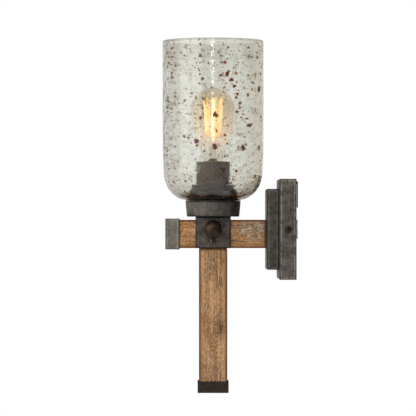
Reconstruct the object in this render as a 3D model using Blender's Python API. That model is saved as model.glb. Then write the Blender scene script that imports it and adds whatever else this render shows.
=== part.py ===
"""Wall sconce: a timber arm and hanging post on a stepped square canopy, with an open-topped
glass shade standing in a dish fitter round one screw-in lamp.

Frame: the wall is the plane y = 0, the room is on the -Y side, +Z is up, and the origin is the
centre of the mounting strap's back, which is also the centre of the square canopy.
Lengths are in metres.
"""

from math import asin, cos, degrees, pi, radians, sin, sqrt

import bmesh
import bpy
from mathutils import Matrix, Vector

MM = 0.001
GAP = 0.3 * MM  # what two touching pieces keep between them
TAU = 2 * pi

# ---- driving dimensions -------------------------------------------------------------------
TIMBER = 38 * MM  # side of both square timbers
SHEET = 1.7 * MM  # sheet iron of the caps and the saddle
CAP = TIMBER + 2 * (SHEET + GAP)  # outer side of the square end caps

CANOPY = 133 * MM  # side of the wall pan
RIM_BACK = -1.7 * MM  # the pan's rim stands off the wall by its foam tape
CANOPY_FRONT = RIM_BACK - 22.5 * MM
RISER = 107 * MM  # side of the smaller box in front of the pan
RISER_DEPTH = 15.7 * MM
PAN_WALL = 1.5 * MM

LAMP_Y = -111.2 * MM  # the upright axis through shade, lamp, saddle and post
ARM_Z = -6.3 * MM  # the arm hangs a little below the canopy's centre
ARM_FRONT = -174.9 * MM  # face of the arm's end cap
ARM_CAP_LENGTH = 18.8 * MM
POST_FOOT = -218.1 * MM  # underside of the post's cap
POST_CAP_HEIGHT = 15.4 * MM

SADDLE_WIDTH = 47 * MM
SADDLE_TOP = 16.5 * MM
KNOB_RADIUS = 12 * MM

DISH_TOP = 37.4 * MM  # rim of the fitter that carries the glass
GLASS_FOOT = 38.8 * MM
GLASS_TOP = 252.2 * MM
GLASS_RADIUS = 67.8 * MM
GLASS_WALL = 3 * MM
CUP_TOP = 90.2 * MM  # mouth of the metal cup round the lampholder

PIPE = 4.9 * MM  # lamp pipe, outer radius
PIPE_BORE = 3.4 * MM
CLEAR = 5.25 * MM  # radius of a hole that the lamp pipe passes
NECK = 20 * MM  # threaded neck that the glass slips over, outer radius

LAMP_TOP = 189.2 * MM
LAMP_RADIUS = 28.9 * MM
SIDE_SCREW_Y = (RIM_BACK + CANOPY_FRONT) / 2
LEAD = 1.1 * MM  # insulated lead, outer radius

ARM_BACK = CANOPY_FRONT - GAP - RISER_DEPTH - GAP
ARM_TOP = ARM_Z + TIMBER / 2
ARM_UNDER = ARM_Z - TIMBER / 2

FINISHES = {
    "aged_iron": ((0.105, 0.098, 0.09), 0.55, 0.75),
    "dark_bronze": ((0.045, 0.028, 0.02), 0.35, 0.8),
    "steel": ((0.45, 0.44, 0.42), 0.35, 0.9),
    "brass": ((0.62, 0.47, 0.22), 0.3, 0.95),
    "timber": ((0.42, 0.26, 0.14), 0.75, 0.0),
    "speckled_glass": ((0.8, 0.81, 0.78), 0.08, 0.0),
    "lamp_glass": ((0.85, 0.68, 0.4), 0.05, 0.0),
    "clear_glass": ((0.9, 0.92, 0.9), 0.05, 0.0),
    "tungsten": ((0.9, 0.6, 0.25), 0.4, 0.6),
    "rubber": ((0.03, 0.03, 0.03), 0.8, 0.0),
    "porcelain": ((0.75, 0.73, 0.68), 0.3, 0.0),
    "black_plastic": ((0.02, 0.02, 0.02), 0.45, 0.0),
    "white_plastic": ((0.75, 0.75, 0.72), 0.45, 0.0),
    "green_plastic": ((0.03, 0.24, 0.09), 0.45, 0.0),
    "green_paint": ((0.03, 0.22, 0.08), 0.45, 0.3),
}


# ---- making ---------------------------------------------------------------------------------
def finish(name):
    """The material of that finish, made once."""
    material = bpy.data.materials.get(name)
    if material is None:
        colour, roughness, metallic = FINISHES[name]
        material = bpy.data.materials.new(name)
        material.use_nodes = True
        shader = material.node_tree.nodes["Principled BSDF"]
        shader.inputs["Base Color"].default_value = (*colour, 1)
        shader.inputs["Roughness"].default_value = roughness
        shader.inputs["Metallic"].default_value = metallic
    return material


def place(name, mesh, finish_name, at=(0, 0, 0), along="Z"):
    """Links a mesh as one sub-part. Along turns its own +Z to a row axis."""
    part = bpy.data.objects.new(name, mesh)
    bpy.context.scene.collection.objects.link(part)
    part.location = at
    part.rotation_euler = {
        "Z": (0, 0, 0),
        "-Z": (pi, 0, 0),
        "X": (0, pi / 2, 0),
        "-X": (0, -pi / 2, 0),
        "Y": (-pi / 2, 0, 0),
        "-Y": (pi / 2, 0, 0),
    }[along]
    if finish_name:
        part.data.materials.append(finish(finish_name))
    return part


def mesh_from(bm, name, smooth_under):
    """Closes a mesh's making. Edges that bend by less than that many degrees shade smooth."""
    bmesh.ops.recalc_face_normals(bm, faces=bm.faces)
    mesh = bpy.data.meshes.new(name)
    bm.to_mesh(mesh)
    bm.free()
    mesh.shade_smooth()
    mesh.set_sharp_from_angle(angle=radians(smooth_under))
    return mesh


def turned(outline, steps=32):
    """A turned solid's mesh from its outline of (radius, height) points. An outline that starts
    and ends on the axis is solid; any other closes on itself and leaves a hole."""
    bm = bmesh.new()
    rings = []
    for radius, height in outline:
        count = steps if radius > 1e-7 else 1
        rings.append([
            bm.verts.new((radius * cos(TAU * k / steps), radius * sin(TAU * k / steps), height))
            for k in range(count)
        ])
    pairs = list(zip(rings, rings[1:]))
    if len(rings[0]) > 1:
        pairs.append((rings[-1], rings[0]))
    for lower, upper in pairs:
        for k in range(steps):
            n = (k + 1) % steps
            corners = [lower[k % len(lower)], lower[n % len(lower)]]
            corners += [upper[n % len(upper)], upper[k % len(upper)]]
            ring = list(dict.fromkeys(corners))
            if len(ring) > 2:
                bm.faces.new(ring)
    return mesh_from(bm, "turned", smooth_under=35)


def hexagon(flat_radius, low, high):
    """A hexagonal bar's mesh, by half its width across flats."""
    corner = flat_radius / cos(pi / 6)
    return turned([(0, low), (corner, low), (corner, high), (0, high)], 6)


def block(low, high, bevel=0.0, segments=2):
    """A box's mesh between two corners, with its edges rounded."""
    bm = bmesh.new()
    low, high = Vector(low), Vector(high)
    middle = Matrix.Translation((low + high) / 2)
    bmesh.ops.create_cube(bm, size=1, matrix=middle @ Matrix.Diagonal((*(high - low), 1)))
    if bevel:
        bmesh.ops.bevel(
            bm, geom=bm.edges[:], offset=bevel, segments=segments, affect="EDGES", profile=0.5
        )
    return mesh_from(bm, "block", smooth_under=40)


def rod_cutter(radius, start, length, along, steps=20):
    """A round cutter from start, that far along a row axis."""
    cutter = place(
        "cutter", turned([(0, 0), (radius, 0), (radius, length), (0, length)], steps), None, start, along
    )
    return hidden(cutter)


def step_cutter(steps, at, along, count=28):
    """A round cutter of several (radius, length) steps, one behind the other."""
    outline, reach = [(0, 0)], 0
    for radius, length in steps:
        outline += [(radius, reach), (radius, reach + length)]
        reach += length
    return hidden(place("cutter", turned([*outline, (0, reach)], count), None, at, along))


def box_cutter(low, high):
    return hidden(place("cutter", block(low, high), None))


def hidden(helper):
    helper.hide_render = True
    helper.display_type = "WIRE"
    return helper


def cut(part, *cutters, operation="DIFFERENCE"):
    for cutter in cutters:
        boolean = part.modifiers.new("cut", "BOOLEAN")
        boolean.operation = operation
        boolean.object = cutter
        boolean.solver = "EXACT"
    return part


def smooth_route(points, step):
    """Points about that far apart on a smooth curve through a route's own points."""
    points = [Vector(p) for p in points]
    ends = [2 * points[0] - points[1], *points, 2 * points[-1] - points[-2]]
    path = []
    for a, b, c, d in zip(ends, ends[1:], ends[2:], ends[3:]):
        count = max(1, round((c - b).length / step))
        for k in range(count):
            t = k / count
            path.append(
                0.5 * (2 * b + (c - a) * t + (2 * a - 5 * b + 4 * c - d) * t**2
                       + (3 * b - a - 3 * c + d) * t**3)
            )
    return [*path, points[-1]]


def wire(name, path, radius, finish_name, sides=8, at=(0, 0, 0)):
    """A round wire along a path, mitred at each of its points so that its long faces stay flat.
    At is the origin of the piece; the path itself is in world coordinates."""
    path = [Vector(point) - Vector(at) for point in path]
    runs = [(b - a).normalized() for a, b in zip(path, path[1:])]
    across = runs[0].orthogonal().normalized()
    up = runs[0].cross(across)
    turns = [TAU * k / sides for k in range(sides)]
    ring = [path[0] + radius * (across * cos(turn) + up * sin(turn)) for turn in turns]
    bm = bmesh.new()
    rings = [[bm.verts.new(point) for point in ring]]
    for run, following, end in zip(runs, [*runs[1:], runs[-1]], path[1:]):
        mitre = (run + following).normalized()
        ring = [point + run * (end - point).dot(mitre) / run.dot(mitre) for point in ring]
        rings.append([bm.verts.new(point) for point in ring])
    for first, second in zip(rings, rings[1:]):
        for k in range(sides):
            n = (k + 1) % sides
            bm.faces.new((first[k], first[n], second[n], second[k]))
    bm.faces.new(rings[0])
    bm.faces.new(rings[-1])
    return place(name, mesh_from(bm, name, smooth_under=50), finish_name, at)


def arc(centre_r, centre_z, a, b, start, stop, count):
    """Points on an elliptical arc of an outline, its angles in degrees from the radial axis."""
    turns = [radians(start + (stop - start) * k / count) for k in range(count + 1)]
    return [(centre_r + a * cos(t), centre_z + b * sin(t)) for t in turns]


# ---- the wall end -----------------------------------------------------------------------------
STRAP_THICK = 1.6 * MM
STRAP_HALF = 12.5 * MM  # half its height
STRAP_END = CANOPY / 2 - PAN_WALL - 0.4 * MM
TAB_REACH = 19 * MM
GROUND_X = 24 * MM
SCREW_CLEAR = 2.3 * MM
NOTCH_Z = 25.6 * MM


def mounting_strap():
    """Steel strap on the wall box, with a tab bent forward at each end for the side screws."""
    strap = place(
        "mounting_strap",
        block((-STRAP_END, -TAB_REACH, -STRAP_HALF), (STRAP_END, 0, STRAP_HALF)),
        "steel",
    )
    inner = STRAP_END - STRAP_THICK
    cut(strap, box_cutter((-inner, -2 * TAB_REACH, -2 * STRAP_HALF), (inner, -STRAP_THICK, 2 * STRAP_HALF)))
    cut(strap, rod_cutter(SCREW_CLEAR, (-CANOPY, SIDE_SCREW_Y, 0), 2 * CANOPY, "X"))
    slot_from, slot_to, slot_half = 33 * MM, 47 * MM, 2.6 * MM
    for side in (-1, 1):
        xs = sorted((side * slot_from, side * slot_to))
        slot = box_cutter((xs[0], -10 * MM, -slot_half), (xs[1], 10 * MM, slot_half))
        cut(strap, slot)
    cut(strap, rod_cutter(1.9 * MM, (GROUND_X, 5 * MM, 0), 10 * MM, "-Y", 16))


def square_shell(name, side, back, depth, wall, edge):
    """An open-backed square box of sheet iron, its mouth towards the wall."""
    half = side / 2
    shell = place(
        name, block((-half, back - depth, -half), (half, back + 2 * edge, half), edge, 3), "aged_iron"
    )
    cut(shell, box_cutter((-side, back, -side), (side, back + 20 * MM, side)))
    inner = half - wall
    return cut(shell, box_cutter((-inner, back - depth + wall, -inner), (inner, back + 10 * MM, inner)))


def canopy():
    pan = square_shell("canopy_pan", CANOPY, RIM_BACK, RIM_BACK - CANOPY_FRONT, PAN_WALL, 1.2 * MM)
    cut(pan, rod_cutter(CLEAR, (0, CANOPY_FRONT - 5 * MM, ARM_Z), 10 * MM, "Y"))
    cut(pan, rod_cutter(SCREW_CLEAR, (-CANOPY, SIDE_SCREW_Y, 0), 2 * CANOPY, "X"))
    cut(pan, rod_cutter(3 * MM, (-CANOPY, RIM_BACK + 0.9 * MM, NOTCH_Z), 2 * CANOPY, "X"))
    half, tape = CANOPY / 2 - 0.3 * MM, 3.2 * MM
    strip = block((-half, RIM_BACK + GAP, NOTCH_Z + 3 * MM), (half, 0, half - 3 * MM))
    foam = place("rim_tape", strip, "rubber")
    cut(foam, box_cutter((tape - half, -CANOPY, 0), (half - tape, CANOPY, half - 3 * MM - tape)))
    back = CANOPY_FRONT - GAP
    riser = square_shell("raised_plate", RISER, back, RISER_DEPTH, PAN_WALL, 1.2 * MM)
    front = back - RISER_DEPTH
    cut(riser, rod_cutter(CLEAR, (0, front - 5 * MM, ARM_Z), 10 * MM, "Y"))
    for side in (-1, 1):
        hole = (side * END_SCREW_X, front - 5 * MM, ARM_Z)
        cut(riser, rod_cutter(SCREW_CLEAR, hole, 10 * MM, "Y", 16))


def button_screw(name, head_radius, head_height, shank_radius, shank_length, at, along, finish_name):
    """A domed screw whose head stands on its origin and whose shank runs the other way."""
    dome = arc(0, 0, head_radius, head_height, 12, 78, 4)
    outline = [(0, -shank_length), (shank_radius, -shank_length), (shank_radius, 0), (head_radius, 0)]
    screw = place(name, turned([*outline, *dome, (0, head_height)], 18), finish_name, at, along)
    key = hexagon(0.36 * head_radius, 0.35 * head_height, 2 * head_height)
    drive = hidden(place("cutter", key, None, at, along))
    return cut(screw, drive)


SIDE_WASHER = 0.8 * MM


def side_screws():
    """Two screws that hold the canopy on the strap's tabs, each with its washer."""
    for name, side, along in (("right", 1, "X"), ("left", -1, "-X")):
        face = side * (CANOPY / 2 + GAP)
        ring = [(2.2 * MM, 0), (4.5 * MM, 0), (4.5 * MM, SIDE_WASHER), (2.2 * MM, SIDE_WASHER)]
        place(f"side_washer_{name}", turned(ring, 24), "dark_bronze", (face, SIDE_SCREW_Y, 0), along)
        seat = side * (CANOPY / 2 + 2 * GAP + SIDE_WASHER)
        button_screw(
            f"side_screw_{name}", 4 * MM, 2.3 * MM, 1.8 * MM, 9 * MM,
            (seat, SIDE_SCREW_Y, 0), along, "dark_bronze",
        )


def ground_parts():
    """Green earth screw on the strap, and the ring terminal under the pipe's nut."""
    button_screw(
        "ground_screw", 3.8 * MM, 2.2 * MM, 1.5 * MM, 1.4 * MM,
        (GROUND_X, -STRAP_THICK - 3.4 * MM, 0), "-Y", "green_paint",
    )
    front = CANOPY_FRONT + PAN_WALL + GAP
    ring = place(
        "ground_terminal",
        turned([(CLEAR, 0), (8.6 * MM, 0), (8.6 * MM, 0.8 * MM), (CLEAR, 0.8 * MM)], 28),
        "steel", (0, front, ARM_Z), "Y",
    )
    tongue = box_cutter((7 * MM, front, ARM_Z - 2 * MM), (15 * MM, front + 0.8 * MM, ARM_Z + 2 * MM))
    cut(ring, tongue, operation="UNION")


# ---- the arm ------------------------------------------------------------------------------------
END_SCREW_X = 12.5 * MM
PIPE_FRONT = LAMP_Y + 10.5 * MM
PIPE_REAR = -11 * MM
INSERT = 7.8 * MM  # outer radius of the threaded insert in the arm's end
INSERT_LENGTH = 24 * MM
LAG_X, LAG_Y = 11.5 * MM, 13 * MM
LAG_HEAD, LAG_SHANK = 4.4 * MM, 2.1 * MM
LAG_LENGTH = 68 * MM
SMALL_SCREW_Z = -16.4 * MM
NUT_FLAT = 7.15 * MM  # half across flats of a lamp-pipe locknut
NUT_HEIGHT = 4 * MM
STUD = 2.4 * MM
STUD_TIP = 9.5 * MM  # how near the arm's middle a knob's shank ends


def arm():
    front = ARM_FRONT + SHEET + GAP
    half = TIMBER / 2
    timber = place(
        "arm_timber", block((-half, front, ARM_UNDER), (half, ARM_BACK, ARM_TOP), 0.9 * MM), "timber"
    )
    bore_start = LAMP_Y + 1.1 * MM
    bore = ARM_BACK - INSERT_LENGTH - GAP - bore_start
    wide = (INSERT + GAP, INSERT_LENGTH + 10 * MM)
    cut(timber, step_cutter([(CLEAR, bore), wide], (0, bore_start, ARM_Z), "Y", 28))
    pocket_foot = SADDLE_TOP - SHEET - GAP - NUT_HEIGHT - GAP
    drop_foot = ARM_Z - 6.1 * MM
    wide = (9.4 * MM, TIMBER)
    drop = [(CLEAR + 0.6 * MM, pocket_foot - drop_foot), wide]
    cut(timber, step_cutter(drop, (0, LAMP_Y, drop_foot), "Z", 30))
    for side in (-1, 1):
        lag_at = (side * LAG_X, LAMP_Y + side * LAG_Y, ARM_UNDER - 5 * MM)
        deep = ARM_TOP - 3 * MM - lag_at[2]
        cut(timber, step_cutter([(LAG_SHANK + GAP, deep), (LAG_HEAD + GAP, TIMBER)], lag_at, "Z", 20))
        outwards = "X" if side > 0 else "-X"
        cut(timber, rod_cutter(STUD + GAP, (side * (STUD_TIP - GAP), LAMP_Y, 0), TIMBER, outwards, 16))
        cut(timber, rod_cutter(1.9 * MM, (side * 7 * MM, LAMP_Y, SMALL_SCREW_Z), TIMBER, outwards, 16))
        end_hole = (side * END_SCREW_X, ARM_BACK - 22 * MM, ARM_Z)
        cut(timber, rod_cutter(1.9 * MM, end_hole, 40 * MM, "Y", 16))
    cap = place(
        "arm_cap",
        block(
            (-CAP / 2, ARM_FRONT, ARM_Z - CAP / 2),
            (CAP / 2, ARM_FRONT + ARM_CAP_LENGTH, ARM_Z + CAP / 2), 0.8 * MM,
        ),
        "aged_iron",
    )
    pocket = half + GAP
    cut(cap, box_cutter((-pocket, ARM_FRONT + SHEET, ARM_Z - pocket), (pocket, 0, ARM_Z + pocket)))
    place(
        "arm_insert",
        turned([(CLEAR, 0), (INSERT, 0), (INSERT, INSERT_LENGTH), (CLEAR, INSERT_LENGTH)], 28),
        "brass", (0, ARM_BACK - INSERT_LENGTH, ARM_Z), "Y",
    )
    length = PIPE_REAR - PIPE_FRONT
    place(
        "arm_pipe",
        turned([(PIPE_BORE, 0), (PIPE, 0), (PIPE, length), (PIPE_BORE, length)], 28),
        "steel", (0, PIPE_FRONT, ARM_Z), "Y",
    )
    seat = CANOPY_FRONT + PAN_WALL + GAP + 0.8 * MM + GAP
    pipe_nut("arm_pipe_nut", (0, seat, ARM_Z), "Y")
    inside = ARM_BACK + GAP + PAN_WALL + GAP
    for name, side in (("right", 1), ("left", -1)):
        button_screw(
            f"arm_end_screw_{name}", 3.6 * MM, 2.2 * MM, 1.6 * MM, 21 * MM,
            (side * END_SCREW_X, inside, ARM_Z), "Y", "steel",
        )


def pipe_nut(name, at, along):
    """Hexagonal locknut for lamp pipe, standing on its origin."""
    nut = place(name, hexagon(NUT_FLAT, 0, NUT_HEIGHT), "steel", at, along)
    back = Vector(at) - axis_of(along) * 5 * MM
    return cut(nut, rod_cutter(CLEAR, back, 20 * MM, along, 28))


def axis_of(along):
    sign = -1 if along[0] == "-" else 1
    return Vector({"X": (1, 0, 0), "Y": (0, 1, 0), "Z": (0, 0, 1)}[along[-1]]) * sign


# ---- saddle, knobs and post -----------------------------------------------------------------
def saddle():
    """Inverted U of sheet iron over the arm; its cheeks hang to the arm's underside."""
    half, outer = SADDLE_WIDTH / 2, CAP / 2
    bracket = place(
        "saddle",
        block((-outer, LAMP_Y - half, ARM_UNDER), (outer, LAMP_Y + half, SADDLE_TOP), 0.7 * MM),
        "aged_iron",
    )
    inner = outer - SHEET
    hollow = box_cutter(
        (-inner, LAMP_Y - CAP, ARM_UNDER - CAP), (inner, LAMP_Y + CAP, SADDLE_TOP - SHEET)
    )
    cut(bracket, hollow)
    cut(bracket, rod_cutter(CLEAR, (0, LAMP_Y, 0), 30 * MM, "Z", 28))
    cut(bracket, rod_cutter(STUD + GAP, (-CAP, LAMP_Y, 0), 2 * CAP, "X", 16))
    cut(bracket, rod_cutter(1.9 * MM, (-CAP, LAMP_Y, SMALL_SCREW_Z), 2 * CAP, "X", 16))
    for name, side, along in (("right", 1, "X"), ("left", -1, "-X")):
        face = CAP / 2 + GAP
        sink = 8.2 * MM  # how deep the ball's middle lies behind its base
        base = sqrt(KNOB_RADIUS**2 - sink**2)
        start = -degrees(asin(sink / KNOB_RADIUS))
        ball = arc(0, sink, KNOB_RADIUS, KNOB_RADIUS, start, 82, 10)
        tip = KNOB_RADIUS + sink
        shank = CAP / 2 + GAP - STUD_TIP
        outline = [(0, -shank), (STUD, -shank), (STUD, 0), (base, 0), *ball[1:], (0, tip)]
        place(f"ball_knob_{name}", turned(outline, 28), "dark_bronze", (side * face, LAMP_Y, 0), along)
        button_screw(
            f"saddle_screw_{name}", 4.2 * MM, 1.9 * MM, 1.6 * MM, 13 * MM,
            (side * face, LAMP_Y, SMALL_SCREW_Z), along, "aged_iron",
        )


def post():
    half = TIMBER / 2
    top, foot = ARM_UNDER - GAP, POST_FOOT + SHEET + GAP
    timber = place(
        "post_timber", block((-half, LAMP_Y - half, foot), (half, LAMP_Y + half, top), 0.9 * MM), "timber"
    )
    for name, side in (("right", 1), ("left", -1)):
        x, y = side * LAG_X, LAMP_Y + side * LAG_Y
        deep = ARM_TOP - 0.4 * MM - LAG_LENGTH
        cut(timber, rod_cutter(LAG_SHANK + GAP, (x, y, deep - GAP), LAG_LENGTH, "Z", 16))
        neck = 2.3 * MM
        outline = [
            (0, -LAG_LENGTH), (LAG_SHANK, -LAG_LENGTH + 4 * MM), (LAG_SHANK, -neck),
            (LAG_HEAD, -neck), (LAG_HEAD, 0), (0, 0),
        ]
        place(f"post_lag_{name}", turned(outline, 20), "steel", (x, y, ARM_TOP - 0.4 * MM))
    cap = place(
        "post_cap",
        block(
            (-CAP / 2, LAMP_Y - CAP / 2, POST_FOOT),
            (CAP / 2, LAMP_Y + CAP / 2, POST_FOOT + POST_CAP_HEIGHT), 0.8 * MM,
        ),
        "aged_iron",
    )
    pocket = half + GAP
    cut(cap, box_cutter((-pocket, LAMP_Y - pocket, POST_FOOT + SHEET), (pocket, LAMP_Y + pocket, 0)))


# ---- fitter, glass and its clamp -----------------------------------------------------------------
DISH_FOOT = SADDLE_TOP + GAP
DISH_WALL = 2 * MM
NECK_FOOT = DISH_FOOT + DISH_WALL + GAP
NECK_WALL = 2 * MM
NECK_TOP = 59 * MM
GLASS_FLOOR = 3.5 * MM
GLASS_HOLE = 21 * MM
NIPPLE_FOOT = 1 * MM
NIPPLE_TOP = 54.5 * MM
RING_TOP = 59.2 * MM
RING_RADIUS = 28.3 * MM
PLATE_RADIUS = 32.5 * MM


def fitter():
    top, foot = 37 * MM, 35.2 * MM
    outline = [
        (CLEAR, DISH_FOOT), (foot - 1 * MM, DISH_FOOT), (foot, DISH_FOOT + 1 * MM), (top, DISH_TOP),
        (top - DISH_WALL, DISH_TOP), (foot - DISH_WALL, DISH_FOOT + DISH_WALL),
        (CLEAR, DISH_FOOT + DISH_WALL),
    ]
    place("fitter_dish", turned(outline, 56), "aged_iron", (0, LAMP_Y, 0))
    outline = [
        (CLEAR, NECK_FOOT), (NECK, NECK_FOOT), (NECK, NECK_TOP), (NECK - NECK_WALL, NECK_TOP),
        (NECK - NECK_WALL, NECK_FOOT + 2 * MM), (CLEAR, NECK_FOOT + 2 * MM),
    ]
    place("fitter_neck", turned(outline, 40), "steel", (0, LAMP_Y, 0))
    outline = [
        (PIPE_BORE, NIPPLE_FOOT), (PIPE, NIPPLE_FOOT), (PIPE, NIPPLE_TOP), (PIPE_BORE, NIPPLE_TOP),
    ]
    place("lamp_pipe", turned(outline, 28), "steel", (0, LAMP_Y, 0))
    pipe_nut("neck_nut", (0, LAMP_Y, NECK_FOOT + 2 * MM + GAP), "Z")
    pipe_nut("saddle_nut", (0, LAMP_Y, SADDLE_TOP - SHEET - GAP - NUT_HEIGHT), "Z")


def glass_outline():
    """The shade's section: a rounded foot, a wall that swells a little, and a rounded lip."""
    bowl_r, bowl_a, bowl_b = 34 * MM, 32.4 * MM, 37.6 * MM
    bowl_z = GLASS_FOOT + bowl_b
    swell_z = 125 * MM
    outside = arc(bowl_r, bowl_z, bowl_a, bowl_b, -90, 0, 8)
    outside += [(67.2 * MM, 96 * MM), (GLASS_RADIUS, swell_z), (GLASS_RADIUS, GLASS_TOP - 1.2 * MM)]
    lip = [(GLASS_RADIUS - GLASS_WALL / 2, GLASS_TOP)]
    inner_r = GLASS_RADIUS - GLASS_WALL
    inside = [(inner_r, GLASS_TOP - 1.2 * MM), (inner_r, swell_z), (67.2 * MM - GLASS_WALL, 96 * MM)]
    inside += arc(bowl_r, bowl_z, bowl_a - GLASS_WALL, bowl_b - GLASS_FLOOR, 0, -90, 8)
    hole = [(GLASS_HOLE, GLASS_FOOT + GLASS_FLOOR), (GLASS_HOLE, GLASS_FOOT)]
    return [*outside, *lip, *inside, *hole]


def shade():
    at = (0, LAMP_Y, 0)
    place("glass_shade", turned(glass_outline(), 48), "speckled_glass", at)
    low = DISH_TOP + GAP
    high = GLASS_FOOT - GAP
    outline = [(34.9 * MM, low), (36.8 * MM, low), (36.8 * MM, high), (34.9 * MM, high)]
    place("lower_gasket", turned(outline, 56), "rubber", at)
    floor = GLASS_FOOT + GLASS_FLOOR
    inner = NECK + GAP
    outline = [
        (inner, floor + GAP), (33 * MM, floor + GAP), (33 * MM, floor + 1.4 * MM),
        (inner, floor + 1.4 * MM),
    ]
    place("upper_gasket", turned(outline, 40), "rubber", at)
    plate = floor + 1.4 * MM + GAP
    ring = RING_TOP - 7 * MM
    shoulder = arc(PLATE_RADIUS - 4 * MM, ring - GAP - 4 * MM, 4 * MM, 4 * MM, 0, 90, 4)
    outline = [(inner, plate), (PLATE_RADIUS, plate), *shoulder, (inner, ring - GAP)]
    place("clamp_plate", turned(outline, 40), "aged_iron", at)
    edge = 0.8 * MM
    outline = [
        (inner, ring), (RING_RADIUS - edge, ring), (RING_RADIUS, ring + edge),
        (RING_RADIUS, RING_TOP - edge), (RING_RADIUS - edge, RING_TOP), (inner, RING_TOP),
    ]
    place("clamp_ring", turned(outline, 40), "aged_iron", at)


# ---- lampholder ------------------------------------------------------------------------------------
CUP_FOOT = RING_TOP + GAP
CUP_RADIUS = 22.6 * MM
CUP_WALL = 1.2 * MM
HOLDER = 17.4 * MM  # porcelain body, outer radius
HOLDER_FOOT, HOLDER_TOP = 52 * MM, 88.2 * MM
WEB_LOW, WEB_HIGH = 58.5 * MM, 60.6 * MM
SHELL_OUT, SHELL_IN = 14.3 * MM, 13.75 * MM
SHELL_FOOT, SHELL_TOP = 62.2 * MM, 86.8 * MM
PITCH = 3.63 * MM  # thread of a medium screw cap
THREAD_DEEP = 0.42 * MM


def thread_outline(crest, low, high):
    """A zigzag wall that stands for a rolled thread: one crest to each pitch."""
    turns = int((high - low) / PITCH)
    points = [(crest - THREAD_DEEP, low)]
    for k in range(turns):
        points += [(crest, low + (k + 0.5) * PITCH), (crest - THREAD_DEEP, low + (k + 1) * PITCH)]
    return [*points, (crest, high)]


def lampholder():
    at = (0, LAMP_Y, 0)
    edge = 0.5 * MM
    outline = [
        (HOLDER + 2 * GAP, CUP_FOOT), (CUP_RADIUS - edge, CUP_FOOT), (CUP_RADIUS, CUP_FOOT + edge),
        (CUP_RADIUS, CUP_TOP - edge), (CUP_RADIUS - edge, CUP_TOP), (CUP_RADIUS - CUP_WALL, CUP_TOP),
        (CUP_RADIUS - CUP_WALL, CUP_FOOT + CUP_WALL), (HOLDER + 2 * GAP, CUP_FOOT + CUP_WALL),
    ]
    place("socket_cup", turned(outline, 48), "aged_iron", at)
    chamber, rivet, bore = 12 * MM, 2.1 * MM, SHELL_OUT + GAP
    outline = [
        (CLEAR, HOLDER_FOOT), (HOLDER, HOLDER_FOOT), (HOLDER, HOLDER_TOP), (bore, HOLDER_TOP),
        (bore, WEB_HIGH), (rivet, WEB_HIGH), (rivet, WEB_LOW), (chamber, WEB_LOW),
        (chamber, NIPPLE_TOP + GAP), (CLEAR, NIPPLE_TOP + GAP),
    ]
    place("lampholder_body", turned(outline, 36), "porcelain", at)
    inner = thread_outline(SHELL_IN, SHELL_FOOT, SHELL_TOP)
    outer = [(radius + SHELL_OUT - SHELL_IN, z) for radius, z in inner]
    place("screw_shell", turned([*outer, *inner[::-1]], 24), "brass", at)
    tip = 1.8 * MM
    outline = [
        (0, WEB_LOW - 1.5 * MM), (tip, WEB_LOW - 1.5 * MM), (tip, WEB_HIGH + GAP), (5 * MM, WEB_HIGH + GAP),
        (5 * MM, WEB_HIGH + GAP + 0.6 * MM), (0, WEB_HIGH + GAP + 0.6 * MM),
    ]
    place("centre_contact", turned(outline, 20), "brass", at)


# ---- lamp --------------------------------------------------------------------------------------
TIP_FOOT = WEB_HIGH + 3 * GAP + 0.6 * MM
CAP_FOOT, CAP_TOP = 67 * MM, 91 * MM
CAP_RADIUS = 13.2 * MM
CAP_WALL = 0.7 * MM
LAMP_WALL = 0.9 * MM
STEM_BUTTON_LOW, STEM_BUTTON_HIGH = 121 * MM, 171 * MM
CAGE_LOW, CAGE_HIGH = 124 * MM, 175.5 * MM
CAGE_LOW_RADIUS, CAGE_HIGH_RADIUS = 9.5 * MM, 13 * MM
CAGE_LEGS = 18
FILAMENT = 0.4 * MM
HAIRPIN = 0.9 * MM  # half the width of each bend in the filament
SUPPORT = 0.3 * MM  # support and lead-in wires


def lamp_wall(inset):
    """The envelope's section from its neck to just under its crown: a straight neck, a long
    flare and a round crown. Inset is measured inwards from the outside."""
    neck = 12 * MM - inset
    widest = LAMP_RADIUS - inset
    crown_z = 160.5 * MM
    start_z = CAP_TOP + 1 * MM
    points = [(neck, CAP_TOP - 6 * MM), (neck, CAP_TOP)]
    steps = 9
    for k in range(1, steps):
        t = k / steps
        swell = sin(t * pi / 2) ** 1.15
        points.append((neck + (widest - neck) * swell, start_z + (crown_z - start_z) * t))
    return points + arc(0, crown_z, widest, LAMP_TOP - crown_z - inset, 0, 84, 8)


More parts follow.
